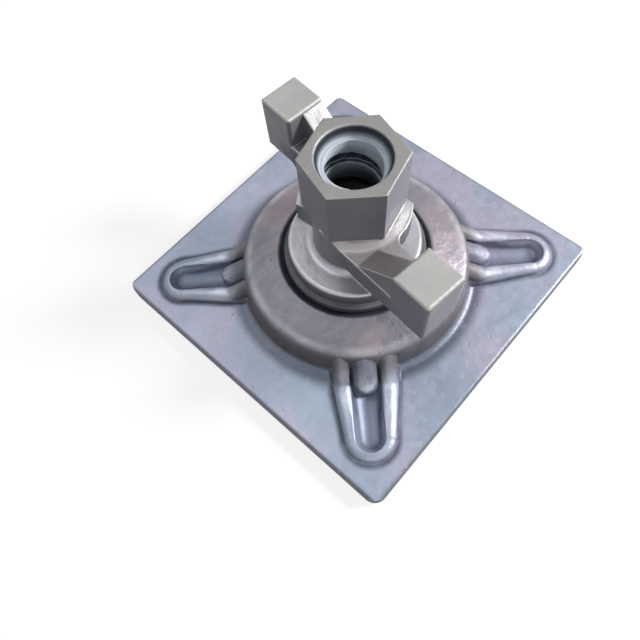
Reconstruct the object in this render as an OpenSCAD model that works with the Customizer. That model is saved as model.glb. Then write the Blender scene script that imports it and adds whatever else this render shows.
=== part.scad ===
// Formwork swivel plate nut for a coarse-threaded tie rod.
// A ribbed square plate carries a domed seat. The wing nut rests in the seat
// on a ball face, turns freely and tilts a little, and a snap ring on the
// nut's sleeve keeps the two together under the dome.
// Millimetres, +Z along the tie rod, bearing face of the plate on z = 0.

/* [Plate] */
// Side of the square bearing plate
plate_side = 110; // [104:1:150]
// Thickness of the flat plate
plate_t = 5; // [4.5:0.5:7]
// Radius of the four plate corners
plate_corner_r = 4; // [2:0.5:6]
// Radius that rolls the plate's upper edge
plate_edge_r = 1.2; // [0.5:0.1:2]

/* [Corner ribs] */
// Distance of a rib's outer end from the tie rod axis
rib_reach = 66.5; // [62:0.5:67]
// Half the spacing of the two ridges at a rib's outer end
ridge_offset = 5.2; // [4.8:0.1:6]
// Extra half spacing of the ridges where they meet the dome
ridge_splay = 2; // [1:0.1:2.4]
// Radius of one ridge
ridge_r = 3.4; // [2.8:0.1:3.6]
// Height of the ridge crest over the plate, beside the dome
ridge_rise = 2.8; // [2.2:0.1:3]
// Drop of the ridge crest towards the rib's outer end
ridge_fall = 0.9; // [0.5:0.1:1]
// Climb of each ridge up the dome wall
ridge_climb = 6.6; // [5:0.2:7]
// Radius of the valley sunk between the ridges
valley_r = 4.8; // [4.2:0.1:5]
// Depth of the valley floor under the plate's upper face
valley_depth = 1.8; // [1:0.1:2.4]

/* [Dome] */
// Radius of the dome wall at the plate
dome_foot_r = 38; // [37.5:0.5:41]
// Radius of the dome where wall and shoulder meet
dome_brow_r = 36.4; // [35.5:0.1:37]
// Height of the dome where wall and shoulder meet
dome_brow_z = 14; // [12.5:0.1:14.5]
// Fillet between the dome wall and the plate
foot_fillet = 3; // [2:0.5:4]
// Rounding between the wall and the shoulder
brow_round = 3; // [2:0.5:4]
// Radius of the buttress that runs from the dome into each valley
buttress_r = 4.2; // [3.4:0.1:4.6]

/* [Seat] */
// Radius of the mouth of the ball seat
mouth_r = 24; // [23.8:0.1:26]
// Height of the mouth over the bearing face
mouth_z = 17.2; // [16.8:0.1:18.5]
// Radius of the ball face of the seat
ball_r = 40; // [38:0.5:44]
// Gap between the ball faces of seat and nut
ball_gap = 0.3; // [0.2:0.05:0.5]
// Largest tilt of the nut in its seat, in degrees
swivel = 3.5; // [2:0.5:3.5]
// Height of the underside of the seat web
web_z = 6.5; // [6.3:0.1:7.2]

/* [Nut] */
// Full height of the part
top_z = 61; // [58:0.5:66]
// Width across the flats of the hexagon
hex_af = 25.5; // [25.5:0.5:27.5]
// Length of the hexagon
hex_len = 19; // [16:0.5:19]
// Turn of the hexagon from the wing direction, in degrees
hex_turn = 20; // [0:1:59]
// Turn of the whole nut at rest, in degrees
nut_turn = -6.5; // [-45:0.5:45]
// Radius of the flange
flange_r = 20.6; // [20:0.1:21.2]
// Height of the flange's upper face
flange_z = 23.8; // [23.2:0.1:24.5]
// Radius of the low collar under the flange
collar_r = 22.4; // [22:0.1:22.8]
// Height of the collar's upper face
collar_z = 18.9; // [18.5:0.1:19.5]
// Radius of the round neck between flange and hexagon
neck_r = 12.5; // [12:0.1:12.6]

/* [Wings] */
// Width of a striking lug
lug_w = 13.1; // [11:0.1:15]
// Depth of a striking lug along the wing
lug_d = 12.5; // [11:0.1:14]
// Height of a striking lug
lug_h = 18.2; // [15:0.1:19]
// Distance of a lug's outer face from the tie rod axis
lug_reach = 40; // [38:0.5:44]
// Height of a lug's striking face
lug_top_z = 51.4; // [51:0.1:53]
// Distance of the wing's straight side from the tie rod axis
wing_side = 13.4; // [13:0.1:13.9]
// Thickness of the wing
wing_t = 7; // [6:0.1:7.4]
// Radius of the wing's fan round the hub
hub_r = 16.5; // [16:0.1:17.5]
// Rounding of the lug edges
lug_round = 1; // [0.4:0.1:1.6]

/* [Thread] */
// Radius of the bore over the thread crests
bore_r = 7.8; // [7.5:0.1:8.2]
// Depth of the thread groove
thread_depth = 1.3; // [0.9:0.1:1.4]
// Rise of the thread in one turn
thread_pitch = 10; // [8:0.5:12]
// Angle that the groove takes up in a section across the bore
thread_arc = 175; // [150:5:190]
// Turn of the groove's start
thread_turn = 275; // [0:5:355]
// Radius of the lead-in at the mouth of the bore
lead_r = 10.3; // [10:0.1:11]
// Radius at the foot of the lead-in
lead_foot_r = 8.9; // [8.6:0.1:9.4]
// Depth of the lead-in
lead_depth = 3.2; // [2.5:0.1:4.5]

/* [Sleeve and ring] */
// Radius of the sleeve that passes through the plate
sleeve_r = 12.6; // [12.3:0.1:12.8]
// Height of the sleeve's lower end over the bearing face
sleeve_z = 0.8; // [0.8:0.1:1.2]
// Height of the underside of the retaining ring
ring_z = 2; // [1.9:0.1:2.3]
// Thickness of the retaining ring
ring_t = 2.4; // [2:0.1:2.5]
// Outer radius of the retaining ring
ring_r = 18.6; // [18.2:0.1:19]
// Depth of the ring groove in the sleeve
groove_depth = 1.2; // [0.8:0.1:1.3]
// Running clearance of the ring in its groove
ring_fit = 0.05; // [0.03:0.01:0.1]
// Opening of the split ring, in degrees
ring_split = 30; // [20:1:50]

/* [Hidden] */
$fn = 96;
eps = 0.01;
ball_z = mouth_z + sqrt(ball_r * ball_r - mouth_r * mouth_r);
hole_r = sleeve_r + (ball_z - web_z) * sin(swivel) + 0.4;
neck_top_z = top_z - hex_len;
lug_base_z = lug_top_z - lug_h;
wing_z = lug_base_z + 0.8;
wing_top_z = wing_z + wing_t;
lug_in_y = lug_reach - lug_d;
lug_side = wing_side - lug_w;
bore_end_z = sleeve_z - 1;
thread_len = top_z - bore_end_z + 1;
groove_r = sleeve_r - groove_depth;
pocket_in_r = hole_r + 5.6;
pocket_out_r = dome_foot_r - 5.2;
pocket_z = mouth_z - 6.4;
ridge_z = plate_t + ridge_rise - ridge_r;
ridge_end_x = rib_reach - ridge_r - ridge_offset;
ridge_end_z = ridge_z - ridge_fall;
valley_z = plate_t - valley_depth + valley_r;

function unit(v) = v / norm(v);
// Points of a rounded corner at b between a and c.
function bend(a, b, c, r, n = 6) =
    let (u = unit(a - b), v = unit(c - b), half = acos(u * v) / 2,
         m = b + unit(u + v) * r / sin(half),
         s = b + u * r / tan(half) - m, e = b + v * r / tan(half) - m,
         a0 = atan2(s[1], s[0]), sweep = (atan2(e[1], e[0]) - a0 + 540) % 360 - 180)
    [for (i = [0:n]) m + r * [cos(a0 + sweep * i / n), sin(a0 + sweep * i / n)]];
function flat(p) = [p[0], p[1]];
// Outline of [x, y, radius] corners with each radius applied.
function soft(p) =
    [for (i = [0:len(p) - 1])
        each (p[i][2] > 0
            ? bend(flat(p[(i + len(p) - 1) % len(p)]), flat(p[i]), flat(p[(i + 1) % len(p)]), p[i][2])
            : [flat(p[i])])];

module rounded_rect(w, d, r)
{
    square([w - 2 * r, d], center = true);
    square([w, d - 2 * r], center = true);
    for (x = [-1, 1], y = [-1, 1])
        translate([x * (w / 2 - r), y * (d / 2 - r)]) circle(r);
}

// Block with all its edges rounded, on z = 0.
module soft_block(w, d, h, r)
{
    intersection() {
        linear_extrude(h) rounded_rect(w, d, r);
        translate([0, d / 2, h / 2]) rotate([90, 0, 0]) linear_extrude(d) rounded_rect(w, h, r);
        translate([-w / 2, 0, h / 2]) rotate([90, 0, 90]) linear_extrude(w) rounded_rect(d, h, r);
    }
}

module rod(a, b, r)
{
    d = b - a;
    translate(a)
        rotate([0, acos(d[2] / norm(d)), atan2(d[1], d[0])])
            cylinder(r = r, h = norm(d));
    translate(b) sphere(r);
}

module flat_plate()
{
    edge = [for (s = [-1, 1]) [s * plate_side / 2, 0]];
    profile = soft([
        [edge[0][0], 0, 0], [edge[1][0], 0, 0],
        [edge[1][0], plate_t, plate_edge_r], [edge[0][0], plate_t, plate_edge_r]]);
    intersection() {
        linear_extrude(plate_t) rounded_rect(plate_side, plate_side, plate_corner_r);
        translate([0, plate_side / 2, 0]) rotate([90, 0, 0]) linear_extrude(plate_side) polygon(profile);
        translate([-plate_side / 2, 0, 0]) rotate([90, 0, 90]) linear_extrude(plate_side) polygon(profile);
    }
}

// One corner rib along +X: two ridges that climb the dome wall and fall to a rim round the valley's end.
module ridges()
{
    root_x = dome_foot_r + 5;
    root_y = ridge_offset + ridge_splay;
    for (s = [-1, 1]) {
        rod([dome_foot_r - 5, s * (root_y + 1), ridge_z + 0.6], [ridge_end_x, s * ridge_offset, ridge_end_z], ridge_r);
        rod([dome_brow_r - 2.5, s * root_y, ridge_z + ridge_climb], [root_x, s * (root_y - 0.1), ridge_z - 0.3],
            ridge_r - 0.6);
    }
    translate([ridge_end_x - 0.4, 0, ridge_end_z - 0.1])
        rotate([0, 0, -90])
            rotate_extrude(angle = 180)
                translate([ridge_offset, 0]) circle(ridge_r - 0.1);
}

module valley()
{
    rod([dome_foot_r - 2, 0, valley_z], [ridge_end_x + 0.3, 0, valley_z], valley_r);
}

// Nose of the dome that runs down into a valley.
module buttress()
{
    nose = dome_foot_r + 3.2;
    intersection() {
        translate([nose, 0, plate_t - 0.2])
            rotate([0, -56, 0])
                translate([0, 0, -12]) cylinder(r = buttress_r, h = 28, $fn = 12);
        translate([0, 0, 1])
            linear_extrude(dome_brow_z - 0.6) {
                translate([nose, 0]) circle(buttress_r - 0.3);
                translate([mouth_r + 4, 0.3 - buttress_r]) square([nose - mouth_r - 4, 2 * buttress_r - 0.6]);
            }
    }
}

module dome()
{
    rotate_extrude()
        polygon(soft([
            [0, 0, 0],
            [dome_foot_r + foot_fillet, 0, 0],
            [dome_foot_r + foot_fillet, plate_t, 0],
            [dome_foot_r, plate_t + 0.1, foot_fillet - 0.2],
            [dome_brow_r, dome_brow_z, brow_round],
            [mouth_r + 0.8, mouth_z + 0.3, 0.6],
            [mouth_r - 2, mouth_z - 0.6, 0],
            [0, mouth_z - 0.6, 0]]));
}

module anchor_plate()
{
    color([0.66, 0.68, 0.74])
    difference() {
        union() {
            difference() {
                union() {
                    flat_plate();
                    for (a = [45:90:315]) rotate([0, 0, a]) ridges();
                }
                for (a = [45:90:315]) rotate([0, 0, a]) valley();
            }
            dome();
            for (a = [45:90:315]) rotate([0, 0, a]) buttress();
        }
        translate([0, 0, ball_z]) sphere(ball_r, $fn = 180);
        translate([0, 0, -1]) cylinder(r = hole_r, h = mouth_z + 2);
        rotate_extrude()
            polygon(soft([
                [0, -1, 0],
                [pocket_out_r, -1, 0],
                [pocket_out_r - 1.6, pocket_z, 3],
                [pocket_in_r + 1.2, pocket_z, 1.5],
                [pocket_in_r, web_z, 0.8],
                [0, web_z, 0]]));
    }
}

// Flange, low collar and sleeve, closed below by the ball face.
module nut_foot()
{
    intersection() {
        rotate_extrude()
            polygon(soft([
                [0, mouth_z - 12, 0],
                [collar_r, mouth_z - 12, 0],
                [collar_r, collar_z, 0.5],
                [flange_r + 0.3, collar_z + 0.3, 0.3],
                [flange_r, flange_z, 1],
                [neck_r, flange_z, 2.4],
                [neck_r, neck_top_z + 1, 0],
                [0, neck_top_z + 1, 0]]));
        translate([0, 0, ball_z]) sphere(ball_r - ball_gap, $fn = 180);
    }
    translate([0, 0, sleeve_z]) cylinder(r = sleeve_r, h = flange_z - sleeve_z);
}

module hexagon()
{
    rotate([0, 0, hex_turn])
        translate([0, 0, neck_top_z])
            cylinder(r = hex_af / sqrt(3), h = hex_len, $fn = 6);
}

// Plan of a wing towards -Y: straight on its left side, filleted into the round hub on its right.
module wing_plan()
{
    hub = [for (a = [-74:10:-44]) [hub_r * cos(a), hub_r * sin(a), 0]];
    polygon(soft(concat(
        [[-wing_side, 0, 0], [-wing_side, 4 - lug_reach, 0], [-lug_side, 4 - lug_reach, 0],
         [-lug_side, -hub_r, 3.4]],
        hub,
        [[neck_r - 3, 2, 0]])));
}

// Profile of a side wall, drawn with Y along the wing and Z up, as thick as w from x on.
module side_wall(x, w)
{
    translate([x, 0, 0]) rotate([90, 0, 90]) linear_extrude(w) children();
}

module wing()
{
    translate([0, 0, wing_z]) linear_extrude(wing_t) wing_plan();
    // Web under the wing, down to the flange.
    side_wall(-wing_side + 3.5, lug_w - 4)
        polygon([
            [-neck_r + 4, flange_z - 1], [-flange_r + 1.4, flange_z - 1],
            [-lug_in_y - 3, wing_z + 0.4], [-lug_in_y - 3, wing_z + 1], [-neck_r + 4, wing_z + 1]]);
    // Shoulder between the wing and the neck.
    intersection() {
        translate([0, 0, wing_top_z - 1]) linear_extrude(3) wing_plan();
        translate([0, 0, wing_top_z - 0.1])
            cylinder(r1 = hub_r - 0.5, r2 = neck_r + 1, h = neck_top_z - wing_top_z);
    }
    // Striking lug, with a gusset up its back.
    translate([-wing_side + lug_w / 2, -lug_reach + lug_d / 2, lug_base_z])
        soft_block(lug_w, lug_d, lug_h, lug_round);
    side_wall(-wing_side + 0.3, lug_w * 0.56)
        polygon([
            [-lug_in_y - 2, wing_top_z - 1], [-lug_in_y - 2, lug_top_z - lug_round],
            [-lug_in_y, lug_top_z - lug_round], [-neck_r - 3, wing_top_z + 0.2], [-neck_r - 3, wing_top_z - 1]]);
}

// Screw-shaped cutter of the rounded coarse thread.
module groove()
{
    n = 6;
    arc = [for (i = [0:n])
        (bore_r + thread_depth * ((i == 0 || i == n) ? -0.5 : 1)) * [cos(thread_arc * i / n), sin(thread_arc * i / n)]];
    translate([0, 0, bore_end_z])
        linear_extrude(thread_len, twist = -360 * thread_len / thread_pitch, slices = 88, $fn = 12)
            rotate(thread_turn) polygon(concat([[0, -3]], arc));
}

module wing_nut()
{
    color([0.6, 0.6, 0.6])
    rotate([0, 0, nut_turn])
    difference() {
        union() {
            nut_foot();
            hexagon();
            for (a = [0, 180]) rotate([0, 0, a]) wing();
        }
        translate([0, 0, bore_end_z]) cylinder(r = bore_r, h = thread_len);
        groove();
        translate([0, 0, top_z - lead_depth])
            cylinder(r1 = lead_foot_r, r2 = lead_r + 0.1, h = lead_depth + 0.1);
        difference() {
            translate([0, 0, ring_z - ring_fit]) cylinder(r = sleeve_r + 1, h = ring_t + 2 * ring_fit);
            translate([0, 0, ring_z - 1]) cylinder(r = groove_r, h = ring_t + 2);
        }
    }
}

module retaining_ring()
{
    color([0.45, 0.45, 0.47])
    difference() {
        translate([0, 0, ring_z]) cylinder(r = ring_r, h = ring_t);
        translate([0, 0, ring_z - 1]) cylinder(r = groove_r + ring_fit, h = ring_t + 2);
        rotate([0, 0, -ring_split / 2])
            translate([0, 0, ring_z - 1])
                rotate_extrude(angle = ring_split) translate([2, 0]) square([ring_r, ring_t + 2]);
    }
}

anchor_plate();
wing_nut();
retaining_ring();
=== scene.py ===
"""Formwork swivel plate nut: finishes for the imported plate, wing nut and snap ring, and a plain studio."""

import logging
import math
from collections.abc import Mapping, Sequence
from dataclasses import dataclass, field
from enum import Enum
from functools import cached_property
from typing import Any, ClassVar

import bmesh
import bpy
from mathutils import Matrix, Vector

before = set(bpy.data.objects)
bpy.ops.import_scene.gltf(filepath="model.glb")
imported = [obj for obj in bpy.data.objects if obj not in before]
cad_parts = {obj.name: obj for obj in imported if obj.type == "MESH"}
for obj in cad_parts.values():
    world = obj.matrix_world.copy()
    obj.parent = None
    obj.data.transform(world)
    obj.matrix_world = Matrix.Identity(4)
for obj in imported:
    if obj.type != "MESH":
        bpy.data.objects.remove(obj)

log = logging.getLogger("plate_nut")
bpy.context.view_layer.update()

Colour = tuple[float, float, float]
Span = tuple[float, float]  # the values at which a soft step gives 0 and 1; the first may be the larger
Hump = tuple[float, float]  # where a soft hump stands, and the distance at which it has fallen to 0

WHITE: Colour = (1.0, 1.0, 1.0)
BEVEL_SAMPLES = 6
EDGE_TURN: Span = (0.995, 0.86)  # cosine of the angle by which rounding turns a normal


class Bump(Enum):
    """How deep a relief may look, as the Bump node's distance in metres."""

    GRAIN = 0.00012
    PITS = 0.00035
    DENTS = 0.0009


class Cell(Enum):
    """What is read from Voronoi cells, as the node's output."""

    DISTANCE = "Distance"
    TINT = "Color"


@dataclass(frozen=True)
class Noise:
    """A fractal noise: features per metre, octaves, and the weight of the finer octaves."""

    scale: float
    detail: float
    rough: float = 0.55


class Signal:
    """A shader socket that can be written in plain arithmetic."""

    def __init__(self, bench: "ShaderBench", socket: bpy.types.NodeSocket) -> None:
        """Wraps an output socket of a bench's node tree."""
        self.bench = bench
        self.socket = socket

    def _math(self, operation: str, *others: "Value", clamp: bool = False) -> "Signal":
        """One Math node, whose first operand is this signal."""
        settings = {"operation": operation, "use_clamp": clamp}
        return self.bench.signal("ShaderNodeMath", settings, [self, *others])

    def __add__(self, other: "Value") -> "Signal":
        """Sum."""
        return self._math("ADD", other)

    __radd__ = __add__

    def __mul__(self, other: "Value") -> "Signal":
        """Product."""
        return self._math("MULTIPLY", other)

    __rmul__ = __mul__

    def __sub__(self, other: "Value") -> "Signal":
        """Difference."""
        return self._math("SUBTRACT", other)

    def __rsub__(self, other: "Value") -> "Signal":
        """Reflected difference."""
        return (self * -1.0) + other

    def __pow__(self, other: "Value") -> "Signal":
        """Power."""
        return self._math("POWER", other)

    def __abs__(self) -> "Signal":
        """Size without its sign."""
        return self._math("ABSOLUTE")

    def largest(self, other: "Value") -> "Signal":
        """The larger of two signals."""
        return self._math("MAXIMUM", other)

    def smallest(self, other: "Value") -> "Signal":
        """The smaller of two signals."""
        return self._math("MINIMUM", other)

    def held(self) -> "Signal":
        """The signal held between 0 and 1."""
        return self._math("ADD", 0.0, clamp=True)

    def spread(self, least: float, most: float) -> "Signal":
        """A mask stretched to run from least to most."""
        return self * (most - least) + least

    def ramp(self, span: Span) -> "Signal":
        """A soft step.

        Args:
            span: the values that give 0 and 1.

        Returns:
            The step, smooth at both ends.
        """
        low, high = span
        return self.bench.signal(
            "ShaderNodeMapRange",
            {"interpolation_type": "SMOOTHSTEP", "clamp": True},
            {"Value": self, "From Min": low, "From Max": high, "To Min": 0.0, "To Max": 1.0},
        )

    def band(self, hump: Hump) -> "Signal":
        """A soft hump, 1 at its centre and 0 beyond its half width."""
        centre, half = hump
        return abs(self - centre).ramp((half, 0.0))


Value = Signal | float | Sequence[float]
Inputs = Mapping[str, Value] | Mapping[int, Value] | Sequence[Value]


class ShaderBench:
    """Makes the nodes of one material or world."""

    def __init__(self, owner: bpy.types.Material | bpy.types.World) -> None:
        """Starts with an empty node tree.

        Args:
            owner: the material or world that gets the nodes.
        """
        owner.use_nodes = True
        self.owner = owner
        self.tree = owner.node_tree
        self.tree.nodes.clear()

    @cached_property
    def place(self) -> Signal:
        """The point in object coordinates."""
        return self.signal("ShaderNodeTexCoord", {}, {}, "Object")

    @cached_property
    def facing(self) -> Signal:
        """The surface normal."""
        return self.signal("ShaderNodeNewGeometry", {}, {}, "Normal")

    def node(self, kind: str, settings: Mapping[str, Any], inputs: Inputs) -> bpy.types.Node:
        """One node with its settings and inputs.

        Args:
            kind: the node's type.
            settings: the node's own settings, set first.
            inputs: values or signals by socket name or number, or in socket order.

        Returns:
            The node.
        """
        made = self.tree.nodes.new(kind)
        for key, value in settings.items():
            setattr(made, key, value)
        pairs = inputs.items() if isinstance(inputs, Mapping) else enumerate(inputs)
        for key, value in pairs:
            if isinstance(value, Signal):
                self.tree.links.new(value.socket, made.inputs[key])
            else:
                made.inputs[key].default_value = value
        return made

    def signal(
        self, kind: str, settings: Mapping[str, Any], inputs: Inputs, output: str | int = 0
    ) -> Signal:
        """One output, by name or number, of a new node."""
        return Signal(self, self.node(kind, settings, inputs).outputs[output])

    def axis(self, vector: Signal) -> tuple[Signal, Signal, Signal]:
        """The three parts of a vector."""
        node = self.node("ShaderNodeSeparateXYZ", {}, [vector])
        return tuple(Signal(self, out) for out in node.outputs)

    def stretched(self, scale: Sequence[float], turn: float = 0.0) -> Signal:
        """The object coordinates, scaled along X, Y and Z and turned about Z by an angle in degrees."""
        inputs = {"Vector": self.place, "Scale": scale, "Rotation": (0.0, 0.0, math.radians(turn))}
        return self.signal("ShaderNodeMapping", {}, inputs)

    def noise(self, kind: Noise, at: Signal | None = None) -> Signal:
        """Fractal noise between 0 and 1.

        Args:
            kind: its scale and texture.
            at: the coordinates, or None for the object's.

        Returns:
            The noise.
        """
        texture = {"Scale": kind.scale, "Detail": kind.detail, "Roughness": kind.rough}
        inputs = {"Vector": at or self.place, **texture}
        return self.signal("ShaderNodeTexNoise", {"noise_dimensions": "3D"}, inputs)

    def cells(self, scale: float, read: Cell) -> Signal:
        """Voronoi cells.

        Args:
            scale: cells per metre.
            read: what is wanted of them.

        Returns:
            The chosen output.
        """
        settings = {"voronoi_dimensions": "3D", "feature": "F1"}
        inputs = {"Vector": self.place, "Scale": scale}
        return self.signal("ShaderNodeTexVoronoi", settings, inputs, read.value)

    def mix(self, share: Signal, under: Signal | Colour, over: Signal | Colour) -> Signal:
        """Mixes two colours.

        Args:
            share: how much of the upper colour shows.
            under: the lower colour.
            over: the upper colour.

        Returns:
            The mixed colour.
        """
        settings = {"data_type": "RGBA", "blend_type": "MIX", "clamp_factor": True}
        lower, upper = (one if isinstance(one, Signal) else (*one, 1.0) for one in (under, over))
        return self.signal("ShaderNodeMix", settings, {0: share, 6: lower, 7: upper}, 2)

    def blend(self, share: Signal, under: Signal, over: Signal) -> Signal:
        """Mixes two normals by how much the upper one counts."""
        settings = {"data_type": "VECTOR", "clamp_factor": True}
        return self.signal("ShaderNodeMix", settings, {0: share, 4: under, 5: over}, 1)

    def tinted(self, colour: Signal, factor: Signal) -> Signal:
        """A colour made lighter or darker by a factor about 1."""
        grey = self.signal("ShaderNodeCombineXYZ", {}, [factor, factor, factor])
        return self.signal("ShaderNodeVectorMath", {"operation": "MULTIPLY"}, [colour, grey])

    def rounded(self, radius: float) -> Signal:
        """The normal, with sharp edges rounded to a radius in metres."""
        return self.signal("ShaderNodeBevel", {"samples": BEVEL_SAMPLES}, {"Radius": radius})

    def edges(self, rounded: Signal) -> Signal:
        """A mask of sharp edges, outer and inner alike.

        Args:
            rounded: the normal with its edges rounded.

        Returns:
            1 where the rounding turns the normal, 0 elsewhere.
        """
        settings = {"operation": "DOT_PRODUCT"}
        cosine = self.signal("ShaderNodeVectorMath", settings, [rounded, self.facing], "Value")
        return cosine.ramp(EDGE_TURN)

    def relief(self, height: Signal, depth: Bump, strength: float, over: Signal) -> Signal:
        """A bump with a share of a depth, on top of another normal."""
        inputs = {"Strength": strength, "Distance": depth.value, "Height": height, "Normal": over}
        return self.signal("ShaderNodeBump", {}, inputs)

    def seen(self) -> Signal:
        """What the eye sees straight, mirrored or through glass.

        Returns:
            1 for such a ray, and 0 for one that only carries light.
        """
        ray = self.node("ShaderNodeLightPath", {}, {})
        straight = Signal(self, ray.outputs["Is Camera Ray"])
        mirrored = Signal(self, ray.outputs["Is Glossy Ray"])
        through = Signal(self, ray.outputs["Is Transmission Ray"])
        return straight.largest(mirrored).largest(through)

    def close(
        self, colour: Signal, rough: Signal, metal: Signal | float, normal: Signal
    ) -> bpy.types.Material:
        """Ends a material in one surface shader.

        Args:
            colour: the base colour.
            rough: the roughness.
            metal: the metallic share.
            normal: the normal.

        Returns:
            The finished material.
        """
        inputs = {"Base Color": colour, "Roughness": rough, "Metallic": metal, "Normal": normal}
        shader = self.signal("ShaderNodeBsdfPrincipled", {}, inputs)
        self.node("ShaderNodeOutputMaterial", {}, {"Surface": shader})
        return self.owner


@dataclass(frozen=True)
class Coat:
    """A patchy cover: the haze at which it starts and is full, and its least and greatest share."""

    start: float
    full: float
    least: float
    most: float

    def over(self, haze: Signal) -> Signal:
        """The cover's share at a point."""
        return haze.ramp((self.start, self.full)).spread(self.least, self.most)


@dataclass(frozen=True)
class Pits:
    """Small ragged casting pits, one to a cell, kept where a second noise is high."""

    cells: float
    rim: float
    patches: Noise
    floor: float = 0.05
    ragged: float = 0.16
    widened: float = 0.06
    scattered: Span = (0.55, 0.68)

    def mask(self, b: ShaderBench, grain: Signal) -> Signal:
        """1 in a pit and 0 elsewhere, with the grain on the pits' rims."""
        away = b.cells(self.cells, Cell.DISTANCE) + grain * self.ragged - self.widened
        return away.ramp((self.rim, self.floor)) * b.noise(self.patches).ramp(self.scattered)


@dataclass(frozen=True)
class Spot:
    """What a finish reads at a point: its place, its reach from the Z axis, its facing and three noises."""

    x: Signal
    y: Signal
    z: Signal
    reach: Signal
    upward: Signal
    cloud: Signal
    haze: Signal
    grain: Signal

    @classmethod
    def read(cls, b: ShaderBench, cloud: Noise, haze: Noise, grain: Noise) -> "Spot":
        """Makes the signals of one material.

        Args:
            b: the bench.
            cloud: broad patches.
            haze: small patches.
            grain: the metal's grain.

        Returns:
            The signals.
        """
        x, y, z = b.axis(b.place)
        upward = b.axis(b.facing)[2]
        reach = (x * x + y * y) ** 0.5
        return cls(x, y, z, reach, upward, b.noise(cloud), b.noise(haze), b.noise(grain))


@dataclass(frozen=True)
class PlateMasks:
    """The plate's features as masks, each 1 on its feature and 0 elsewhere."""

    dome: Signal
    rim: Signal
    walls: Signal
    foot: Signal
    seat: Signal
    brow: Signal
    crests: Signal
    valleys: Signal
    stubs: Signal
    bends: Signal
    creases: Signal


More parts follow.
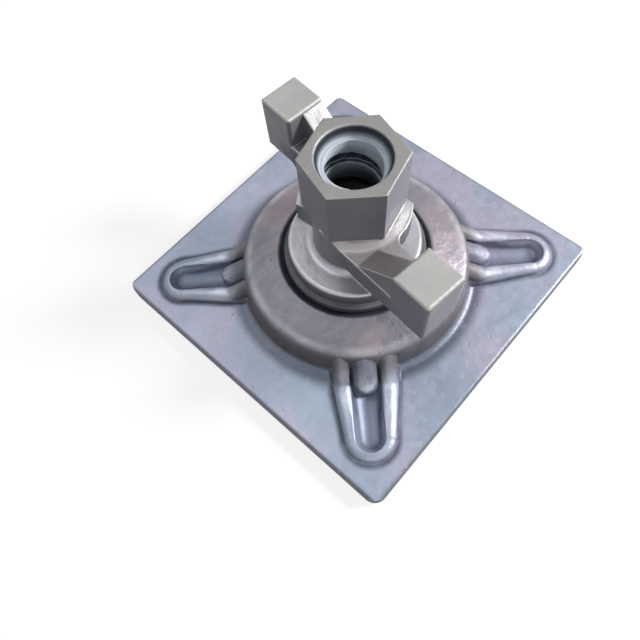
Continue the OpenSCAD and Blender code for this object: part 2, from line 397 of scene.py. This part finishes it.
@dataclass(frozen=True)
class PlateZones:
    """Where the plate's features lie, in metres: spans and humps worked out from the driving sizes."""

    face: ClassVar[float] = 0.0050
    half_side: ClassVar[float] = 0.0550
    dome_foot: ClassVar[float] = 0.0395
    dome_brow: ClassVar[float] = 0.0346
    seat_mouth: ClassVar[float] = 0.0247
    rib_turn: ClassVar[float] = 0.0579
    ridge_foot: ClassVar[float] = 0.0085
    ridge_splay: ClassVar[float] = 0.0020
    valley_half: ClassVar[float] = 0.0046

    off_bottom: Span = (0.0010, 0.0020)
    topside: Span = (face - 0.0015, face - 0.0005)
    rim_reach: Span = (half_side - 0.0016, half_side - 0.0002)
    side_rise: Span = (face + 0.0006, face - 0.0004)
    upright: Span = (0.85, 0.20)
    sloping: Span = (0.97, 0.55)
    sloping_share: float = 0.8
    dome_reach: Span = (dome_foot + 0.0075, dome_foot - 0.0020)
    dome_rise: Span = (face + 0.0002, face + 0.0025)
    foot_ring: Hump = (dome_foot + 0.0008, 0.0040)
    foot_rise: Span = (face + 0.0045, face + 0.0005)
    seat_reach: Span = (seat_mouth, seat_mouth - 0.0009)
    seat_rise: Span = (0.0, face - 0.0010)
    brow_ring: Hump = (dome_brow, 0.0022)
    crest_line: Span = (ridge_foot + ridge_splay, ridge_foot)
    crest_rise: Span = (face + 0.0020, face + 0.0027)
    valley_line: Span = (valley_half, valley_half - 0.0026)
    valley_start: Span = (dome_foot + 0.0005, dome_foot + 0.0035)
    valley_rise: Span = (face + 0.0012, face - 0.0002)
    stub_line: Span = (valley_half + 0.0004, valley_half - 0.0004)
    stub_root: Span = (dome_foot - 0.0033, dome_foot - 0.0023)
    stub_nose: Span = (dome_foot + 0.0095, dome_foot + 0.0075)
    stub_rise: Span = (face - 0.0004, face + 0.0004)
    bend_line: Span = (ridge_foot + 0.0011, ridge_foot - 0.0001)
    bend_start: Span = (dome_foot + 0.0010, dome_foot + 0.0035)
    bend_end: Span = (dome_foot + 0.0130, dome_foot + 0.0100)
    bend_rise: Span = (face + 0.0006, face + 0.0014)
    crease_start: Span = (dome_foot - 0.0005, dome_foot + 0.0025)
    outer_crease: Hump = (ridge_foot, 0.0019)
    outer_rise: Span = (face + 0.0018, face + 0.0006)
    inner_crease: Hump = (0.0027, 0.0017)
    inner_rise: Span = (face + 0.0028, face + 0.0010)

    def masks(self, at: Spot) -> PlateMasks:
        """The masks of all features.

        Args:
            at: the point's signals.

        Returns:
            The masks.
        """
        topside = at.z.ramp(self.topside)
        dome = at.reach.ramp(self.dome_reach) * at.z.ramp(self.dome_rise)
        far, near, aside = self._beside_rib(at)
        return PlateMasks(
            dome=dome,
            rim=abs(at.x).largest(abs(at.y)).ramp(self.rim_reach) * topside,
            walls=self._walls(at, dome),
            foot=at.reach.band(self.foot_ring) * at.z.ramp(self.foot_rise) * topside,
            seat=at.reach.ramp(self.seat_reach) * at.z.ramp(self.seat_rise),
            brow=at.reach.band(self.brow_ring) * dome,
            crests=near.ramp(self.crest_line) * at.z.ramp(self.crest_rise),
            valleys=self._valleys(at, far, aside),
            stubs=self._stubs(at, far, aside),
            bends=self._bends(at, far, aside),
            creases=self._creases(at, far, aside) * topside,
        )

    def _beside_rib(self, at: Spot) -> tuple[Signal, Signal, Signal]:
        """The point's place beside the nearest rib, which lies on a diagonal of the plate.

        Args:
            at: the point's signals.

        Returns:
            How far out along the rib, how far from the plate's diagonal, and how far from the part of it
            that ends where the rib's end begins to turn.
        """
        root = math.sqrt(0.5)
        along = abs((at.x + at.y) * root)
        across = abs((at.y - at.x) * root)
        far, near = along.largest(across), along.smallest(across)
        past = (far - self.rib_turn).largest(0.0)
        return far, near, (near * near + past * past) ** 0.5

    def _walls(self, at: Spot, dome: Signal) -> Signal:
        """The plate's sides, and with less weight the dome's wall."""
        sides = abs(at.upward).ramp(self.upright) * at.z.ramp(self.side_rise)
        return sides.largest(dome * at.upward.ramp(self.sloping) * self.sloping_share)

    def _valleys(self, at: Spot, far: Signal, aside: Signal) -> Signal:
        """The four valleys between the ridges."""
        height = at.z.ramp(self.valley_rise) * at.z.ramp(self.off_bottom)
        return aside.ramp(self.valley_line) * far.ramp(self.valley_start) * height

    def _stubs(self, at: Spot, far: Signal, aside: Signal) -> Signal:
        """The buttresses at the inner ends of the valleys."""
        length = far.ramp(self.stub_nose) * far.ramp(self.stub_root)
        return aside.ramp(self.stub_line) * length * at.z.ramp(self.stub_rise)

    def _bends(self, at: Spot, far: Signal, aside: Signal) -> Signal:
        """The bends where the ridges begin to climb the dome."""
        length = far.ramp(self.bend_start) * far.ramp(self.bend_end)
        return length * aside.ramp(self.bend_line) * at.z.ramp(self.bend_rise)

    def _creases(self, at: Spot, far: Signal, aside: Signal) -> Signal:
        """The lines along the outer feet and inner flanks of the ridges, which splay towards the dome.

        Args:
            at: the point's signals.
            far: how far out along the rib.
            aside: how far from the rib's line.

        Returns:
            The mask.
        """
        across = aside - far.ramp((self.rib_turn, self.dome_foot)) * self.ridge_splay
        outer = across.band(self.outer_crease) * at.z.ramp(self.outer_rise)
        inner = across.band(self.inner_crease) * at.z.ramp(self.inner_rise)
        return outer.largest(inner) * far.ramp(self.crease_start)


@dataclass(frozen=True)
class ZincPlate:
    """Bluish hot-dip zinc on the cast plate, warmer and duller on the dome."""

    cool: Colour = (0.340, 0.405, 0.505)
    lilac: Colour = (0.445, 0.432, 0.550)
    dome: Colour = (0.245, 0.235, 0.270)
    rosy: Colour = (0.32, 0.275, 0.305)
    # painted shade round the dome's foot, in the seat's mouth and along the ridges' creases; also the pits'
    # colour
    shade: Colour = (0.045, 0.053, 0.085)
    # painted shade, dark blue, in the valleys and on the buttresses
    valley_shade: Colour = (0.150, 0.172, 0.258)
    # pale oxide bloom, painted highlights on the brow and the crests, and open edges worn pale and
    # highlighted
    pale: Colour = (0.72, 0.75, 0.83)
    # painted shade on the plate's sides, the dome's wall and a band along the top edges
    side_shade: Colour = (0.058, 0.058, 0.052)

    cloud: Noise = Noise(34.0, 4.0, 0.6)
    haze: Noise = Noise(95.0, 5.0, 0.65)
    grain: Noise = Noise(1500.0, 3.0, 0.6)
    wipes: Noise = Noise(60.0, 4.0, 0.6)
    wipe_stretch: tuple[float, float, float] = (1.0, 7.0, 1.0)
    wipe_turn: float = 38.0
    spangles: float = 420.0
    dents: Noise = Noise(150.0, 4.0, 0.5)
    dome_dents: float = 1.6
    pits: Pits = Pits(330.0, 0.17, Noise(70.0, 2.0))
    lilac_patches: Span = (0.38, 0.64)
    rosy_patches: Span = (0.47, 0.62)
    crest_noise: Noise = Noise(180.0, 3.0)
    crest_patches: Span = (0.35, 0.6)

    dome_coat: Coat = Coat(0.2, 0.6, 0.7, 1.0)
    # patchy share of the painted shade on upright faces
    side_shade_coat: Coat = Coat(0.3, 0.7, 0.65, 0.9)
    # patchy shares of the painted shade in the valleys and along the creases
    valley_coat: Coat = Coat(0.3, 0.75, 0.42, 0.67)
    crease_coat: Coat = Coat(0.25, 0.6, 0.5, 0.85)
    bloom_coat: Coat = Coat(0.60, 0.78, 0.0, 0.25)
    # patchy share of the painted highlight on the dome's brow
    brow_highlight_coat: Coat = Coat(0.30, 0.62, 0.0, 0.35)
    # patchy share of the pale open edges, part wear and part painted highlight
    rubbed_and_highlight_coat: Coat = Coat(0.3, 0.6, 0.15, 0.65)
    rim_share: float = 0.6
    foot_share: float = 0.75
    seat_share: float = 0.9
    stub_share: float = 0.55
    crest_highlight_share: float = 0.75
    pit_share: float = 0.45
    sheltered: Span = (0.05, 0.35)
    open_slope: Span = (0.1, 0.5)

    edge_radius: float = 0.0007
    bend_radius: float = 0.0024
    dent_strength: float = 0.25
    grain_strength: float = 0.4
    pit_strength: float = 0.6
    zones: PlateZones = PlateZones()

    def build(self) -> bpy.types.Material:
        """Builds the plate's finish.

        Returns:
            The material.
        """
        b = ShaderBench(bpy.data.materials.new("zinc_plate"))
        at = Spot.read(b, self.cloud, self.haze, self.grain)
        on = self.zones.masks(at)
        soft = b.rounded(self.edge_radius)
        spangle = b.axis(b.cells(self.spangles, Cell.TINT))[0]
        wipe = b.noise(self.wipes, b.stretched(self.wipe_stretch, self.wipe_turn))
        pits = self.pits.mask(b, at.grain)
        # painted shade in hollows and along creases, then wear and painted highlights, over the zinc's
        # colour
        colour = self._painted_shade(b, at, on, self._zinc(b, at, on))
        colour = self._wear_and_highlights(b, at, on, b.edges(soft), colour)
        colour = b.mix(pits * self.pit_share, colour, self.shade)
        stain = (at.cloud - 0.5) * on.dome * 0.55 + (at.haze - 0.5) * 0.16
        tone = 0.90 + stain + spangle * 0.09 + at.grain * 0.08 + (wipe - 0.5) * 0.2
        rough = 0.27 + at.haze * 0.18 + spangle * 0.06 + pits * 0.2 + at.grain * 0.05
        rough = rough + on.walls * 0.2 + on.creases * 0.2 + on.valleys * 0.14
        metal = 0.5 - on.walls * 0.45 - pits * 0.4
        normal = b.blend(on.stubs.largest(on.bends), soft, b.rounded(self.bend_radius))
        dents = b.noise(self.dents) * (1.0 + on.dome * self.dome_dents)
        normal = b.relief(dents, Bump.DENTS, self.dent_strength, normal)
        normal = b.relief(at.grain + spangle * 0.4, Bump.GRAIN, self.grain_strength, normal)
        normal = b.relief(1.0 - pits, Bump.PITS, self.pit_strength, normal)
        return b.close(b.tinted(colour, tone), rough.held(), metal.held(), normal)

    def _zinc(self, b: ShaderBench, at: Spot, on: PlateMasks) -> Signal:
        """Cool and lilac zinc, the dome's warmer cast, and painted shade on steep sides and top edges.

        Args:
            b: the bench.
            at: the point's signals.
            on: the plate's masks.

        Returns:
            The colour.
        """
        flat = b.mix(at.cloud.ramp(self.lilac_patches), self.cool, self.lilac)
        dome = b.mix(at.cloud.ramp(self.rosy_patches), self.dome, self.rosy)
        colour = b.mix(on.dome * self.dome_coat.over(at.haze), flat, dome)
        # painted shade: the sides and the dome's wall darken, and so does a band along the plate's top edges
        steep = (on.walls * self.side_shade_coat.over(at.haze)).largest(on.rim * self.rim_share)
        return b.mix(steep, colour, self.side_shade)

    def _painted_shade(self, b: ShaderBench, at: Spot, on: PlateMasks, colour: Signal) -> Signal:
        """Painted shade round the dome's foot, in the seat's mouth, in the valleys, on the buttresses and
        along the ridges.

        Args:
            b: the bench.
            at: the point's signals.
            on: the plate's masks.
            colour: the colour under the painted shade.

        Returns:
            The colour.
        """
        # painted shade: darker at the dome's foot and in the seat's mouth, dark blue in the valleys and on
        # the buttresses, dark along the ridges' creases
        rings = (on.foot * self.foot_share + on.seat * self.seat_share).held()
        colour = b.mix(rings, colour, self.shade)
        colour = b.mix(on.valleys * self.valley_coat.over(at.haze), colour, self.valley_shade)
        colour = b.mix(on.creases * self.crease_coat.over(at.haze), colour, self.shade)
        return b.mix(on.stubs * self.stub_share, colour, self.valley_shade)

    def _wear_and_highlights(self, b: ShaderBench, at: Spot, on: PlateMasks, edges: Signal, colour: Signal) -> Signal:
        """Pale bloom on the flat, painted highlights on the dome's brow and the crests, and pale open edges,
        part wear and part painted highlight.

        Args:
            b: the bench.
            at: the point's signals.
            on: the plate's masks.
            edges: the mask of sharp edges.
            colour: the colour under the wear and painted highlights.

        Returns:
            The colour.
        """
        off_dome = 1.0 - on.dome
        bloom = self.bloom_coat.over(at.haze) * off_dome
        # painted highlights: a band on the dome's brow and patches along the ridges' crests
        brow = on.brow * self.brow_highlight_coat.over(at.haze)
        patches = b.noise(self.crest_noise).ramp(self.crest_patches)
        crest_highlight = on.crests * patches * off_dome * self.crest_highlight_share
        colour = b.mix(bloom.largest(brow).largest(crest_highlight), colour, self.pale)
        # places in painted shade stay unworn
        shaded_places = on.creases.largest(on.valleys).largest(on.foot).ramp(self.sheltered)
        # upward open edges outside the painted shade go pale: part wear, part painted highlight
        rubbed_and_highlight = edges * (1.0 - shaded_places) * at.upward.ramp(self.open_slope)
        return b.mix(rubbed_and_highlight * self.rubbed_and_highlight_coat.over(at.haze), colour, self.pale)


@dataclass(frozen=True)
class NutMasks:
    """The nut's features as masks, each 1 on its feature and 0 elsewhere."""

    raised: Signal
    crown: Signal
    upright: Signal
    outside: Signal
    wall: Signal
    shoulder: Signal
    skirt: Signal
    lip: Signal
    foot: Signal
    under: Signal
    inside: Signal
    root: Signal
    mouth: Signal
    lands: Signal
    turns: Signal
    deep: Signal


@dataclass(frozen=True)
class NutZones:
    """Where the nut's features lie, in metres: spans and humps worked out from the driving sizes."""

    top: ClassVar[float] = 0.0610
    lug_top: ClassVar[float] = 0.0514
    lug_reach: ClassVar[float] = 0.0400
    wing_top: ClassVar[float] = 0.0412
    hub: ClassVar[float] = 0.0165
    neck: ClassVar[float] = 0.0125
    flange: ClassVar[float] = 0.0206
    flange_top: ClassVar[float] = 0.0238
    lead_in: ClassVar[float] = 0.0103
    bore: ClassVar[float] = 0.0081

    raised: Span = (lug_top - 0.0019, lug_top - 0.0006)
    crown_rise: Span = (top - 0.0035, top - 0.0020)
    crown_slope: Span = (0.55, 0.85)
    upright: Span = (0.7, 0.12)
    outside: Span = (lead_in + 0.0003, lead_in + 0.0009)
    wall_top: Span = (wing_top + 0.0006, wing_top - 0.0027)
    wall_foot: Span = (wing_top - 0.0112, wing_top - 0.0067)
    wall_start: Span = (neck + 0.0005, neck + 0.0045)
    wall_end: Span = (lug_reach - 0.0020, lug_reach - 0.0180)
    shoulder_rise: Hump = (wing_top - 0.0002, 0.0014)
    shoulder_slope: Span = (0.0, 0.4)
    hub_ring: Hump = (hub - 0.0005, 0.0009)
    neck_ring: Hump = (neck + 0.0008, 0.0008)
    skirt_rise: Hump = (wing_top, 0.0012)
    lip_ring: Hump = (flange - 0.0005, 0.0010)
    lip_rise: Hump = (flange_top - 0.0002, 0.0008)
    foot_top: Span = (flange_top + 0.0107, flange_top + 0.0087)
    foot_rise: Span = (flange_top - 0.0016, flange_top - 0.0006)
    foot_slope: Span = (0.05, 0.5)
    under_rise: Span = (flange_top - 0.0002, flange_top - 0.0043)
    under_reach: Span = (flange - 0.0046, flange - 0.0021)
    inside: Span = (lead_in + 0.0003, lead_in)
    inside_rise: Span = (top - 0.0002, top - 0.0008)
    root: Span = (bore - 0.0002, bore + 0.0002)
    mouth_rise: Hump = (top - 0.0040, 0.0026)
    land_rise: Span = (top - 0.0180, top - 0.0110)
    turn_rise: Span = (top - 0.0210, top - 0.0130)
    deep_rise: Span = (top - 0.0110, top - 0.0210)

    def masks(self, at: Spot) -> NutMasks:
        """The masks of all features.

        Args:
            at: the point's signals.

        Returns:
            The masks.
        """
        upright = abs(at.upward).ramp(self.upright)
        wall_height = at.z.ramp(self.wall_top) * at.z.ramp(self.wall_foot)
        wall_length = at.reach.ramp(self.wall_start) * at.reach.ramp(self.wall_end)
        rings = at.reach.band(self.hub_ring).largest(at.reach.band(self.neck_ring))
        foot = at.z.ramp(self.foot_top) * at.z.ramp(self.foot_rise)
        inside = at.reach.ramp(self.inside) * at.z.ramp(self.inside_rise)
        root = at.reach.ramp(self.root)
        return NutMasks(
            raised=at.z.ramp(self.raised),
            crown=at.z.ramp(self.crown_rise) * at.upward.ramp(self.crown_slope),
            upright=upright,
            outside=at.reach.ramp(self.outside),
            wall=upright * wall_height * wall_length,
            shoulder=at.z.band(self.shoulder_rise) * at.upward.ramp(self.shoulder_slope),
            skirt=rings * at.z.band(self.skirt_rise),
            lip=at.reach.band(self.lip_ring) * at.z.band(self.lip_rise),
            foot=foot * at.upward.ramp(self.foot_slope),
            under=at.z.ramp(self.under_rise) * at.reach.ramp(self.under_reach),
            inside=inside,
            root=root,
            mouth=at.z.band(self.mouth_rise),
            lands=(1.0 - root) * at.z.ramp(self.land_rise),
            turns=at.z.ramp(self.turn_rise),
            deep=at.z.ramp(self.deep_rise) * inside,
        )


@dataclass(frozen=True)
class WornCasting:
    """Worn warm-grey casting of the wing nut, with faint rosy and green casts."""

    body: Colour = (0.375, 0.37, 0.385)
    rosy: Colour = (0.41, 0.375, 0.385)
    green: Colour = (0.48, 0.487, 0.465)
    # painted shade on the upright outer faces; also the pits' colour
    side: Colour = (0.208, 0.209, 0.252)
    # painted highlights on the flange's lip, round the hub and on the wings' shoulders; also edges worn pale
    bright: Colour = (0.72, 0.72, 0.70)
    # painted shade, near black, on the wings' walls and under the flange
    gap_shade: Colour = (0.018, 0.024, 0.038)
    foot: Colour = (0.64, 0.63, 0.69)
    # painted shade deep in the bore
    bore_depth_shade: Colour = (0.012, 0.014, 0.018)
    # painted shade in the thread's roots
    thread_root_shade: Colour = (0.018, 0.026, 0.040)
    # crests worn pale and painted highlight near the mouth
    thread_crest: Colour = (0.74, 0.81, 0.90)
    thread_deep: Colour = (0.13, 0.14, 0.155)

    cloud: Noise = Noise(46.0, 4.0, 0.6)
    haze: Noise = Noise(120.0, 5.0, 0.65)
    grain: Noise = Noise(1300.0, 4.0, 0.65)
    dents: Noise = Noise(170.0, 4.0, 0.5)
    pits: Pits = Pits(360.0, 0.16, Noise(80.0, 2.0))
    rosy_patches: Span = (0.4, 0.62)

    green_coat: Coat = Coat(0.58, 0.75, 0.0, 0.25)
    # patchy share of the painted shade on upright faces
    side_shade_coat: Coat = Coat(0.2, 0.7, 0.7, 0.9)
    # patchy shares of the painted shade on the wings' walls and under the flange
    wall_shade_coat: Coat = Coat(0.25, 0.7, 0.65, 1.0)
    under_shade_coat: Coat = Coat(0.25, 0.7, 0.8, 1.0)
    # patchy share of the pale edges, part wear and part painted highlight
    edge_wear_highlight_coat: Coat = Coat(0.25, 0.6, 0.2, 0.7)
    foot_coat: Coat = Coat(0.25, 0.6, 0.45, 0.7)
    # patchy share of the painted highlight on the flange's lip
    lip_highlight_coat: Coat = Coat(0.25, 0.55, 0.0, 0.6)
    # patchy shares of the pale crests near the mouth, part wear and part painted highlight
    mouth_coat: Coat = Coat(0.25, 0.5, 0.7, 1.0)
    land_coat: Coat = Coat(0.25, 0.6, 0.5, 0.8)
    raised_share: float = 0.85
    wall_share: float = 0.42
    under_share: float = 0.72
    # shares of the painted highlights on the wings' shoulders and round the hub and neck
    shoulder_highlight_share: float = 0.6
    skirt_highlight_share: float = 0.5
    pit_share: float = 0.45
    open_slope: Span = (-0.1, 0.4)

    edge_radius: float = 0.0008
    dent_strength: float = 0.25
    grain_strength: float = 0.45
    pit_strength: float = 0.5
    zones: NutZones = NutZones()

    def build(self) -> bpy.types.Material:
        """Builds the nut's finish.

        Returns:
            The material.
        """
        b = ShaderBench(bpy.data.materials.new("worn_casting"))
        at = Spot.read(b, self.cloud, self.haze, self.grain)
        on = self.zones.masks(at)
        soft = b.rounded(self.edge_radius)
        edges = b.edges(soft)
        # painted shade: the wings' walls and the flange's lower side darken towards near black
        wall = on.wall * self.wall_shade_coat.over(at.haze)
        under = on.under * self.under_shade_coat.over(at.haze)
        pits = self.pits.mask(b, at.grain)
        colour = b.mix(wall * self.wall_share, self._skin(b, at, on), self.gap_shade)
        colour = self._wear_and_highlights(b, at, on, edges, colour)
        colour = self._thread(b, at, on, edges, colour)
        colour = self._flange(b, at, on, colour)
        colour = b.mix(under * self.under_share, colour, self.gap_shade)
        colour = b.mix(pits * self.pit_share, colour, self.side)
        tone = 0.86 + at.grain * 0.12 + at.haze * 0.14 + (at.cloud - 0.5) * 0.35 - on.crown * 0.30
        rough = 0.24 + at.haze * 0.2 + on.raised * 0.1 + at.grain * 0.06 + on.upright * 0.12
        rough = rough + on.inside * on.root * 0.3 + (wall + under) * 0.25
        metal = 0.55 - on.upright * 0.45 - on.inside * 0.5 - under * 0.5
        normal = b.relief(b.noise(self.dents), Bump.DENTS, self.dent_strength, soft)
        normal = b.relief(at.grain, Bump.GRAIN, self.grain_strength, normal)
        normal = b.relief(1.0 - pits, Bump.PITS, self.pit_strength, normal)
        return b.close(b.tinted(colour, tone), rough.held(), metal.held(), normal)

    def _skin(self, b: ShaderBench, at: Spot, on: NutMasks) -> Signal:
        """The casting's colour: rosy patches and greener high parts, with painted shade on the upright outer
        faces.

        Args:
            b: the bench.
            at: the point's signals.
            on: the nut's masks.

        Returns:
            The colour.
        """
        colour = b.mix(at.cloud.ramp(self.rosy_patches), self.body, self.rosy)
        greened = on.raised * self.raised_share + self.green_coat.over(at.haze)
        colour = b.mix(greened, colour, self.green)
        # painted shade on the upright outer faces
        return b.mix(on.upright * on.outside * self.side_shade_coat.over(at.haze), colour, self.side)

    def _wear_and_highlights(self, b: ShaderBench, at: Spot, on: NutMasks, edges: Signal, colour: Signal) -> Signal:
        """Pale edges that look upward, part wear and part painted highlight, and a painted highlight on the
        wings' shoulders.

        Args:
            b: the bench.
            at: the point's signals.
            on: the nut's masks.
            edges: the mask of sharp edges.
            colour: the colour under the wear and painted highlights.

        Returns:
            The colour.
        """
        # upward edges go pale: part wear, part painted highlight
        rubbed_and_highlight = edges * self.edge_wear_highlight_coat.over(at.haze) * at.upward.ramp(self.open_slope)
        colour = b.mix(rubbed_and_highlight, colour, self.bright)
        # painted highlight along the wings' top edges
        return b.mix(edges * on.shoulder * self.shoulder_highlight_share, colour, self.bright)

    def _thread(self, b: ShaderBench, at: Spot, on: NutMasks, edges: Signal, colour: Signal) -> Signal:
        """The bore: pale lead-in and crests near the mouth, part wear and part painted highlight, and
        painted shade in the roots and further down.

        Args:
            b: the bench.
            at: the point's signals.
            on: the nut's masks.
            edges: the mask of sharp edges.
            colour: the colour outside the bore.

        Returns:
            The colour.
        """
        # crests near the mouth go pale: part wear, part painted highlight; roots take painted shade
        rubbed_and_highlight = (edges * on.turns).largest(on.lands * self.land_coat.over(at.haze))
        flank = b.mix(rubbed_and_highlight, b.mix(on.root, self.thread_deep, self.thread_root_shade), self.thread_crest)
        bore = b.mix(on.mouth * self.mouth_coat.over(at.haze), flank, self.thread_crest)
        # painted shade: near black further down the bore
        return b.mix(on.deep, b.mix(on.inside, colour, bore), self.bore_depth_shade)

    def _flange(self, b: ShaderBench, at: Spot, on: NutMasks, colour: Signal) -> Signal:
        """Painted highlights on the flange's lip and round the hub and neck, and a paler face on the
        flange's top.

        Args:
            b: the bench.
            at: the point's signals.
            on: the nut's masks.
            colour: the colour under the painted highlights.

        Returns:
            The colour.
        """
        # painted highlights: a bright line on the flange's lip and arcs round the hub and neck
        rings = on.lip * self.lip_highlight_coat.over(at.haze) + on.skirt * self.skirt_highlight_share
        colour = b.mix(rings, colour, self.bright)
        return b.mix(on.foot * self.foot_coat.over(at.haze), colour, self.foot)


@dataclass(frozen=True)
class SpringSteel:
    """Zinc-plated spring steel of the snap ring."""

    bare: Colour = (0.38, 0.39, 0.41)
    stain: Colour = (0.16, 0.15, 0.13)
    haze: Noise = Noise(200.0, 4.0, 0.6)
    brushing: Noise = Noise(900.0, 3.0, 0.6)
    brush_stretch: tuple[float, float, float] = (1.0, 1.0, 9.0)
    stain_coat: Coat = Coat(0.5, 0.72, 0.0, 0.6)
    metal: float = 0.9
    edge_radius: float = 0.0003
    brush_strength: float = 0.3

    def build(self) -> bpy.types.Material:
        """Builds the ring's finish.

        Returns:
            The material.
        """
        b = ShaderBench(bpy.data.materials.new("spring_steel"))
        haze = b.noise(self.haze)
        brushed = b.noise(self.brushing, b.stretched(self.brush_stretch))
        soft = b.rounded(self.edge_radius)
        colour = b.tinted(b.mix(self.stain_coat.over(haze), self.bare, self.stain), 0.9 + brushed * 0.2)
        rough = 0.3 + haze * 0.2 + b.edges(soft) * 0.05
        normal = b.relief(brushed, Bump.GRAIN, self.brush_strength, soft)
        return b.close(colour, rough.held(), self.metal, normal)


@dataclass
class PlateAssembly:
    """The bearing plate and the ring that hides under its dome."""

    plate: str = "anchor_plate"
    ring: str = "retaining_ring"
    zinc: ZincPlate = field(default_factory=ZincPlate)
    steel: SpringSteel = field(default_factory=SpringSteel)

    def dress(self, nodes: Mapping[str, bpy.types.Object]) -> None:
        """Gives the plate and the ring, found by name, their finishes."""
        wear(nodes[self.plate], self.zinc.build())
        wear(nodes[self.ring], self.steel.build())


@dataclass
class WingNutAssembly:
    """The wing nut with its hexagon, lugs and thread."""

    nut: str = "wing_nut"
    casting: WornCasting = field(default_factory=WornCasting)

    def dress(self, nodes: Mapping[str, bpy.types.Object]) -> None:
        """Gives the nut, found by name, its finish."""
        wear(nodes[self.nut], self.casting.build())


@dataclass(frozen=True)
class Lamp:
    """A square soft lamp: its place and side in metres, its power in watts, and its tint."""

    name: str
    place: tuple[float, float, float]
    side: float
    power: float
    tint: Colour = WHITE

    def hang(self, aim: Vector) -> None:
        """Hangs the lamp.

        Args:
            aim: the point that it looks at.
        """
        data = bpy.data.lights.new(self.name, "AREA")
        data.shape = "SQUARE"
        data.size = self.side
        data.energy = self.power
        data.color = self.tint
        lamp = bpy.data.objects.new(self.name, data)
        lamp.location = self.place
        lamp.rotation_mode = "QUATERNION"
        lamp.rotation_quaternion = (aim - Vector(self.place)).to_track_quat("-Z", "Y")
        bpy.context.scene.collection.objects.link(lamp)


@dataclass
class Studio:
    """Pale floor, soft lamps and the camera, in metres and degrees, with the lens in millimetres."""

    azimuth: float = -49.19
    elevation: float = 61.30
    distance: float = 0.19824
    pan: float = -3.55
    tilt: float = -4.57
    roll: float = -8.32
    lens: float = 32.06
    sensor: float = 36.0
    nearest: float = 0.01
    floor_side: float = 6.0
    floor_z: float = -0.0004
    floor_grey: float = 0.35
    floor_glow: float = 0.78
    sky_grey: float = 0.8
    sky_dim: float = 0.12
    sky_seen: float = 1.0
    lamp_aim: tuple[float, float, float] = (0.0, 0.0, 0.02)
    lamps: tuple[Lamp, ...] = (
        Lamp("lamp_key", (0.54, -0.46, 0.48), 0.20, 7.3, (1.0, 0.99, 0.98)),
        Lamp("lamp_top", (-0.10, 0.35, 0.75), 0.6, 1.6, (0.95, 0.98, 1.0)),
        Lamp("lamp_fill", (-0.6, -0.6, 0.5), 0.5, 0.9),
    )

    def floor(self) -> None:
        """Lays the floor."""
        mesh = bpy.data.meshes.new("studio_floor")
        shape = bmesh.new()
        bmesh.ops.create_grid(shape, x_segments=1, y_segments=1, size=self.floor_side / 2)
        bmesh.ops.translate(shape, verts=shape.verts, vec=(0.0, 0.0, self.floor_z))
        shape.to_mesh(mesh)
        shape.free()
        ground = bpy.data.objects.new("studio_floor", mesh)
        bpy.context.scene.collection.objects.link(ground)
        mesh.materials.append(self._white())

    def _white(self) -> bpy.types.Material:
        """Builds a floor finish that bounces light as grey, and is white to the eye and in reflections.

        Returns:
            The material.
        """
        paint = bpy.data.materials.new("studio_white")
        b = ShaderBench(paint)
        matt = b.signal("ShaderNodeBsdfDiffuse", {}, {"Color": grey(self.floor_grey)})
        glow = b.signal("ShaderNodeEmission", {}, {"Color": grey(1.0), "Strength": self.floor_glow})
        both = b.signal("ShaderNodeAddShader", {}, [matt, glow])
        choice = b.signal("ShaderNodeMixShader", {}, [b.seen(), matt, both])
        b.node("ShaderNodeOutputMaterial", {}, {"Surface": choice})
        return paint

    def sky(self) -> None:
        """Sets an even sky that lights the part dimly, and looks pale to the eye and in reflections."""
        world = bpy.data.worlds.new("studio_air")
        bpy.context.scene.world = world
        b = ShaderBench(world)
        strength = b.seen().spread(self.sky_dim, self.sky_seen)
        air = b.signal("ShaderNodeBackground", {}, {"Color": grey(self.sky_grey), "Strength": strength})
        b.node("ShaderNodeOutputWorld", {}, {"Surface": air})

    def light(self) -> None:
        """Hangs the key on the right, a broad top lamp and a faint fill."""
        for lamp in self.lamps:
            lamp.hang(Vector(self.lamp_aim))

    def camera(self) -> None:
        """Places the camera on its sphere about the origin, then pans, tilts and rolls it."""
        a, e = math.radians(self.azimuth), math.radians(self.elevation)
        back = Vector((math.sin(a) * math.cos(e), -math.cos(a) * math.cos(e), math.sin(e)))
        ahead = -back
        right, up = self._level(ahead)
        pan, tilt = math.radians(self.pan), math.radians(self.tilt)
        aim = (ahead * math.cos(pan) + right * math.sin(pan)) * math.cos(tilt) + up * math.sin(tilt)
        right, up = self._level(aim)
        roll = math.radians(self.roll)
        rolled_right = right * math.cos(roll) + up * math.sin(roll)
        rolled_up = up * math.cos(roll) - right * math.sin(roll)
        data = bpy.data.cameras.new("studio_camera")
        data.lens = self.lens
        data.sensor_width = self.sensor
        data.clip_start = self.nearest
        eye = bpy.data.objects.new("studio_camera", data)
        turn = Matrix((rolled_right, rolled_up, -aim)).transposed().to_4x4()
        eye.matrix_world = Matrix.Translation(back * self.distance) @ turn
        bpy.context.scene.collection.objects.link(eye)
        bpy.context.scene.camera = eye
        bpy.context.scene.view_settings.view_transform = "Standard"

    @staticmethod
    def _level(ahead: Vector) -> tuple[Vector, Vector]:
        """The right and up of a view that isn't rolled."""
        right = ahead.cross(Vector((0.0, 0.0, 1.0))).normalized()
        return right, right.cross(ahead)


def grey(level: float) -> tuple[float, float, float, float]:
    """An opaque grey of a level between 0 and 1."""
    return level, level, level, 1.0


def wear(node: bpy.types.Object, finish: bpy.types.Material) -> None:
    """Puts a finish in every material slot of a node.

    Args:
        node: the node's object.
        finish: the material.
    """
    for slot in node.material_slots:
        slot.material = finish
    log.info("%s wears %s", node.name, finish.name)


def main() -> None:
    """Builds the scene in order."""
    logging.basicConfig(level=logging.INFO)
    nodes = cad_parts
    studio = Studio()
    studio.camera()
    studio.floor()
    studio.sky()
    studio.light()
    PlateAssembly().dress(nodes)
    WingNutAssembly().dress(nodes)
    log.info("boxes written")


if __name__ == "__main__":
    main()
